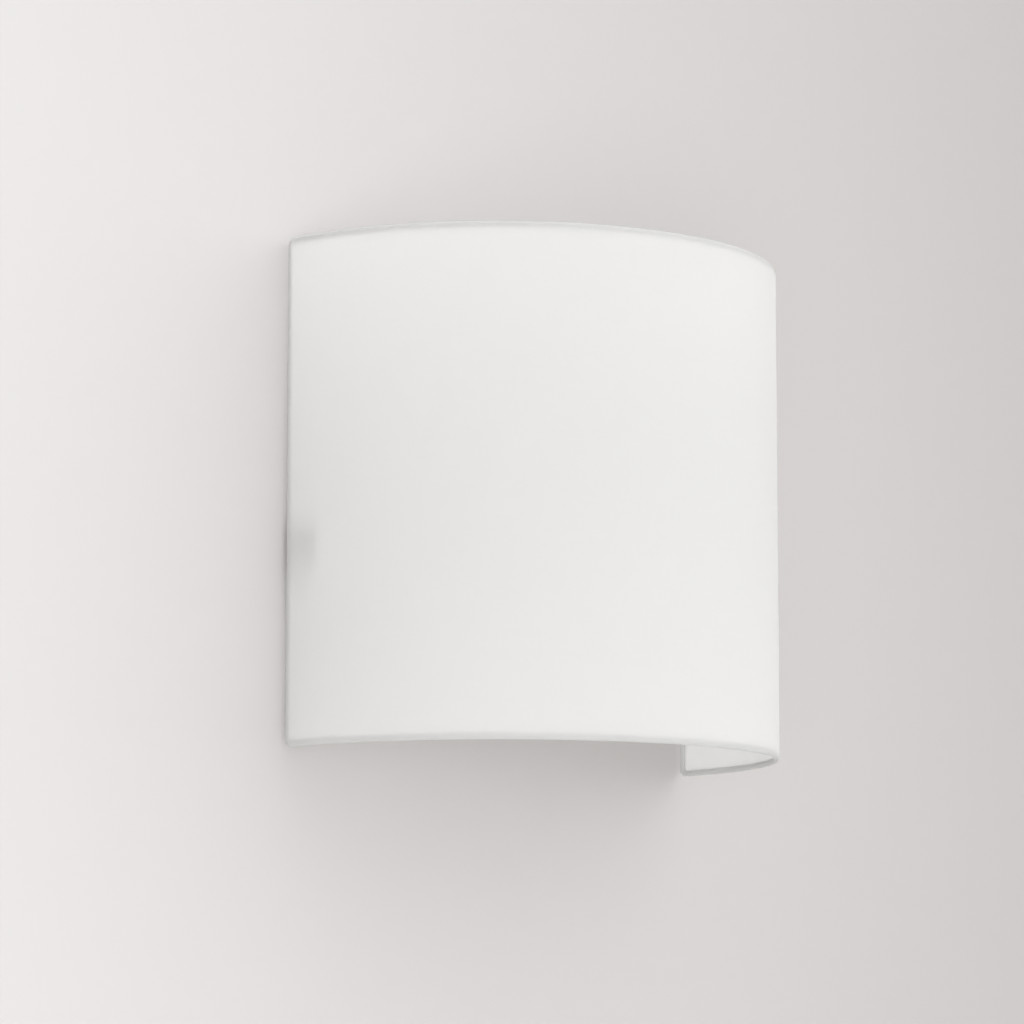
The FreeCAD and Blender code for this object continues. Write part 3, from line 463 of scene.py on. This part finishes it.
def gridQuads(columns, rows):
    # quads of a columns by rows grid of points, counter-clockwise from outside
    index = np.arange(columns * rows).reshape(columns, rows)
    quads = [index[:-1, :-1], index[1:, :-1], index[1:, 1:], index[:-1, 1:]]
    return np.stack(quads, axis=-1).reshape(-1, 4)


def finishPiece(piece, slot, node, body, thickness):
    # gives a sheet its thickness, inwards, and its finish, and puts it in its node's place
    wall = piece.modifiers.new("wall", "SOLIDIFY")
    wall.thickness = thickness
    wall.offset = -1.0
    wall.use_rim = True
    piece.data.materials.append(finishes[slot])
    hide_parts(node)
    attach(piece, body)


skin = dict(
    hem=1.3 * mm,           # radius of the rolled hem
    bend=2.5 * mm,          # the wire's bend at the four corners
    thickness=0.38 * mm,
    step=3.2 * mm,          # grid step
    cornerCells=7,
    rollSteps=18,
    rollEnd=298.0,          # degrees round the wire where the cloth is tucked in
    rollWaver=7.0,          # degrees, either way
    lump=0.025,             # how much the roll swells and thins, as a share of its radius
    tabHalf=7.3 * mm,       # half the slit in the roll for each weld foot
    tabStep=0.5 * mm,       # length over which the roll opens into the slit
    tabRollEnd=100.0,       # degrees round the wire where the cloth ends in a slit
    ease=0.05 * mm,         # mean depth of the skin's waver, inwards from true
    calmBand=12 * mm,       # the waver dies out over this width along each edge
    waveAcross=180 * mm, waveUp=150 * mm,
    waveLean=0.3,           # how much the waves across lean over
)


def makeShadeCloth():
    # the skin: the rounded grid on the drum, as large as the loop of the wire. A tab's slit
    # lies at the height of the origin, so its grid lines do too
    hem, bend = skin["hem"], skin["bend"]
    width = drum["girth"] - 2 * hem
    height = drum["top"] - drum["bottom"] - 2 * hem
    lowLine = drum["bottom"] + hem
    half = skin["tabHalf"]
    wider = half + skin["tabStep"]
    slits = [z - lowLine for z in (-wider, -half, half, wider)]
    across = spacedLines(width, bend, skin["cornerCells"], skin["step"])
    up = spacedLines(height, bend, skin["cornerCells"], skin["step"], slits)
    u, v, outU, outV = roundedGrid(width, height, bend, across, up)
    border = np.minimum(np.minimum(u, width - u), np.minimum(v, height - v))
    calm = np.clip(border / skin["calmBand"], 0, 1) ** 2    # 0 where the skin meets the wire
    wave = (gentleNoise(u + skin["waveLean"] * v, seed=3, waves=5, longest=skin["waveAcross"])
            * gentleNoise(v, seed=4, waves=4, longest=skin["waveUp"]))
    face = onDrum(hem + u, lowLine + v, -skin["ease"] * calm * (1 + wave))
    uvFace = np.stack([u, v], axis=-1)

    # the roll: rings round the wire. At angle a the cloth stands hem sin a beyond the wire's
    # line and hem (1 - cos a) inside the skin, both a little more or less where it is lumpy
    loopU, loopV, loopOutU, loopOutV = (loopOf(g) for g in (u, v, outU, outV))
    steps = np.hypot(np.diff(loopU, append=loopU[:1]), np.diff(loopV, append=loopV[:1]))
    distance = np.cumsum(steps) - steps
    whole = steps.sum()
    waver = skin["rollWaver"] * gentleNoise(distance, seed=8, waves=40, longest=whole)
    end = skin["rollEnd"] + waver
    onSide = np.abs(loopOutU) > 0.99     # the straight side edges, where all points face outwards
    atTab = onSide & (np.abs(loopV + lowLine) <= half + hair)
    end = np.where(atTab, skin["tabRollEnd"], end)
    turn = np.linspace(0, 1, skin["rollSteps"] + 1)[1:, None] * np.radians(end)[None, :]
    lumps = skin["lump"] * gentleNoise(distance, seed=11, waves=60, longest=whole)[None, :]
    swell = 1 + lumps * np.clip(turn / 2, 0, 1)      # it starts even, where it leaves the skin
    beyond = hem * np.sin(turn) * swell
    inside = -hem * (1 - np.cos(turn)) * swell
    roll = onDrum(hem + loopU + beyond * loopOutU, lowLine + loopV + beyond * loopOutV, inside)
    uvRoll = np.stack([loopU + hem * turn * loopOutU, loopV + hem * turn * loopOutV], axis=-1)

    columns, rows = u.shape
    rings, around = turn.shape
    edge = loopOf(np.arange(columns * rows).reshape(columns, rows))
    index = np.vstack([edge, columns * rows + np.arange(rings * around).reshape(rings, around)])
    nextIndex = np.roll(index, -1, axis=1)
    rollQuads = np.stack([index[1:], nextIndex[1:], nextIndex[:-1], index[:-1]], axis=-1)
    piece = meshFrom("shadeCloth",
                     np.concatenate([face.reshape(-1, 3), roll.reshape(-1, 3)]),
                     np.concatenate([gridQuads(columns, rows), rollQuads.reshape(-1, 4)]),
                     np.concatenate([uvFace.reshape(-1, 2), uvRoll.reshape(-1, 2)]))
    finishPiece(piece, "shade_cloth", "shade_fabric", "shade", skin["thickness"])


makeShadeCloth()
print("shade cloth ready")

liner = dict(
    outside=0.56 * mm,      # its outer face, inside the skin's outer face
    thickness=0.48 * mm,
    inset=1.4 * mm,         # its edge, in from the wire's line
    step=4.0 * mm,
    cornerCells=4,
)


def makeShadeLiner():
    # the same rounded grid, a little smaller, on a drum of a smaller radius. Its edge lies
    # inside the wire's line, so its corners are tighter
    edge = skin["hem"] + liner["inset"]
    bend = skin["bend"] - liner["inset"]
    width = drum["girth"] - 2 * edge
    height = drum["top"] - drum["bottom"] - 2 * edge
    across = spacedLines(width, bend, liner["cornerCells"], liner["step"])
    up = spacedLines(height, bend, liner["cornerCells"], liner["step"])
    u, v, _, _ = roundedGrid(width, height, bend, across, up)
    points = onDrum(edge + u, drum["bottom"] + edge + v, np.full_like(u, -liner["outside"]))
    piece = meshFrom("shadeLining", points, gridQuads(*u.shape), np.stack([u, v], axis=-1))
    finishPiece(piece, "shade_lining", "shade_liner", "shade", liner["thickness"])


makeShadeLiner()
print("shade lining ready")

stage = dict(
    wallLitLeft="#e2e0e0", wallShadedRight="#b7b3b2",   # painted shade: the wall darkens to the right, standing in for light that falls off across it
    wallSpan=0.6,            # metres either side over which it changes
    stipple=2.5 * mm, stippleBump=0.1, stippleDepth=0.1 * mm,
    floorColour="#d9d8d7",
    roughness=0.9, specular=0.1,
    wallY=0.06 * mm,         # just behind the plate
    tuck=0.4 * mm,           # from the plate's and the pan's edges in to the hole behind them
    armHalf=11.6 * mm,       # half the height of the hole behind the plate's arms
    panCorner=10 * mm, cornerSteps=8,
    reach=4.0, ceiling=3.0, floorZ=-2.3,     # the wall's half width, its top and its foot
    floorReach=30.0,
)


def makeWallPaint():
    # matt emulsion with a faint roller stipple. From behind it is see-through, so that the
    # light can be looked at from the back as well
    material, tree, shader = newMaterial("mattWallPaint", stage["wallLitLeft"], stage["roughness"], **{
        "Specular IOR Level": stage["specular"]})
    place = (addNode(tree, "ShaderNodeTexCoord"), "Object")
    axes = addNode(tree, "ShaderNodeSeparateXYZ", {"Vector": place})
    # painted shade: the colour darkens from left to right across the wall, in place of light
    # falling off
    across = addNode(tree, "ShaderNodeMapRange", {
        "Value": (axes, "X"), "From Min": -stage["wallSpan"], "From Max": stage["wallSpan"]})
    tint = addNode(tree, "ShaderNodeMix", {
        0: (across, "Result"), 6: toLinear(stage["wallLitLeft"]), 7: toLinear(stage["wallShadedRight"])},
        data_type="RGBA")
    tree.links.new(tint.outputs[2], shader.inputs["Base Color"])
    raiseGrain(tree, shader, place, stage["stipple"], stage["stippleBump"], stage["stippleDepth"])
    surface = addNode(tree, "ShaderNodeNewGeometry")
    clear = addNode(tree, "ShaderNodeBsdfTransparent")
    both = addNode(tree, "ShaderNodeMixShader", {
        "Fac": (surface, "Backfacing"), 1: (shader, "BSDF"), 2: (clear, "BSDF")})
    tree.links.new(both.outputs[0], tree.nodes["Material Output"].inputs["Surface"])
    return material


def makeWall():
    # a plane with a hole behind the plate and the pan, so that their backs are lit. The hole's
    # outline goes once round from the right, a quarter at a time: the arm's end, the pan's side
    # with the points that face the wall's own corners, the pan's rounded corner and its top.
    # Each point is joined to the wall's edge, straight outwards from the middle
    plateHigh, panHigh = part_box("wall_plate")[1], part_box("terminal_pan")[1]
    armEnd, side, top = (high - stage["tuck"] for high in (plateHigh[0], panHigh[0], panHigh[2]))
    arm, corner, reach = stage["armHalf"], stage["panCorner"], stage["reach"]
    turn = np.linspace(0, math.pi / 2, stage["cornerSteps"] + 1)
    toLowerCorner, toUpperCorner = (side * z / reach for z in (-stage["floorZ"], stage["ceiling"]))
    quarterX = np.concatenate([[armEnd, armEnd, side, side, side],
                               side - corner + corner * np.cos(turn), [0]])
    quarterZ = np.concatenate([[0, arm, arm, toLowerCorner, toUpperCorner],
                               top - corner + corner * np.sin(turn), [top]])
    quarter = np.stack([quarterX, quarterZ], axis=-1)
    hole = np.concatenate([quarter[:-1], (quarter * (-1, 1))[:0:-1], -quarter[:-1],
                           (quarter * (1, -1))[:0:-1], quarter[:1]])
    away = np.maximum(np.abs(hole), hair)     # never nought, to divide by
    upright = np.where(hole[:, 1] > 0, stage["ceiling"], -stage["floorZ"])
    edge = hole * np.minimum(reach / away[:, 0], upright / away[:, 1])[:, None]
    flat = np.stack([hole, edge])
    x, z = flat[..., 0], flat[..., 1]
    points = np.stack([x, np.full_like(x, stage["wallY"]), z], axis=-1)
    wall = meshFrom("wall", points, gridQuads(2, len(hole)))
    wall.data.materials.append(makeWallPaint())


def makeFloor():
    # one flat quad from the foot of the wall, far out to both sides and to the front
    far = stage["floorReach"]
    x, y = np.meshgrid([-far, far], [-far, stage["wallY"]], indexing="ij")
    points = np.stack([x, y, np.full_like(x, stage["floorZ"])], axis=-1)
    floor = meshFrom("floor", points, gridQuads(2, 2))
    paint = newMaterial("paleFloor", stage["floorColour"], stage["roughness"])[0]
    floor.data.materials.append(paint)


makeWall()
makeFloor()

light = dict(
    worldColour="#fdfdfd", shownColour="#e9e8e7",
    world=1.29,                # strength of the light from all round
    worldAcross=0.70,          # added towards the right, and taken away towards the left
    worldBehind=0.75,          # strength of what comes from behind the wall
    keyTurn=-40.0,             # degrees from the wall's normal, to the right
    keyRise=-12.0,             # degrees above level, so the lamp hangs a little low
    keyDistance=3.4, keySize=2.2, keyPower=33.0,
)


def makeLight():
    world = bpy.data.worlds.new("studio")
    bpy.context.scene.world = world
    world.use_nodes = True
    tree = world.node_tree
    plain = tree.nodes["Background"]
    plain.inputs["Color"].default_value = toLinear(light["worldColour"])
    # the strength grows evenly from left to right: world + across x, with x of the direction,
    # and is one value behind the wall
    direction = addNode(tree, "ShaderNodeTexCoord")
    axes = addNode(tree, "ShaderNodeSeparateXYZ", {"Vector": (direction, "Generated")})
    level = addNode(tree, "ShaderNodeMath", {
        0: (axes, "X"), 1: light["worldAcross"], 2: light["world"]}, operation="MULTIPLY_ADD")
    behind = addNode(tree, "ShaderNodeMath", {0: (axes, "Y"), 1: 0.0}, operation="GREATER_THAN")
    strength = addNode(tree, "ShaderNodeMix", {
        0: (behind, 0), 2: (level, 0), 3: light["worldBehind"]})
    tree.links.new(strength.outputs[0], plain.inputs["Strength"])

    # a pale background for the camera, for what metal mirrors and for what glass lets through.
    # Light that cloth passes on is both transmitted and diffuse, so it keeps the plain world
    shown = addNode(tree, "ShaderNodeBackground", {
        "Color": toLinear(light["shownColour"]), "Strength": 1.0})
    path = addNode(tree, "ShaderNodeLightPath")
    mirrored = addNode(tree, "ShaderNodeMath", {
        0: (path, "Is Camera Ray"), 1: (path, "Is Glossy Ray")}, operation="MAXIMUM")
    clear = addNode(tree, "ShaderNodeMath", {
        0: (path, "Is Transmission Ray"), 1: (path, "Is Diffuse Ray")}, operation="SUBTRACT")
    seen = addNode(tree, "ShaderNodeMath", {0: (mirrored, 0), 1: (clear, 0)}, operation="MAXIMUM")
    both = addNode(tree, "ShaderNodeMixShader", {"Fac": (seen, 0), 1: (plain, 0), 2: (shown, 0)})
    tree.links.new(both.outputs[0], tree.nodes["World Output"].inputs["Surface"])

    # one large soft lamp that points at the origin
    turn, rise = math.radians(light["keyTurn"]), math.radians(light["keyRise"])
    data = bpy.data.lights.new("key", "AREA")
    data.shape = "DISK"
    data.size = light["keySize"]
    data.energy = light["keyPower"]
    key = bpy.data.objects.new("key", data)
    key.location = (light["keyDistance"] * math.sin(turn) * math.cos(rise),
                    -light["keyDistance"] * math.cos(turn) * math.cos(rise),
                    light["keyDistance"] * math.sin(rise))
    key.rotation_euler = (math.radians(90) - rise, 0, turn)
    bpy.context.collection.objects.link(key)


makeLight()
bpy.context.scene.view_settings.view_transform = "Standard"
print("stage and light ready")
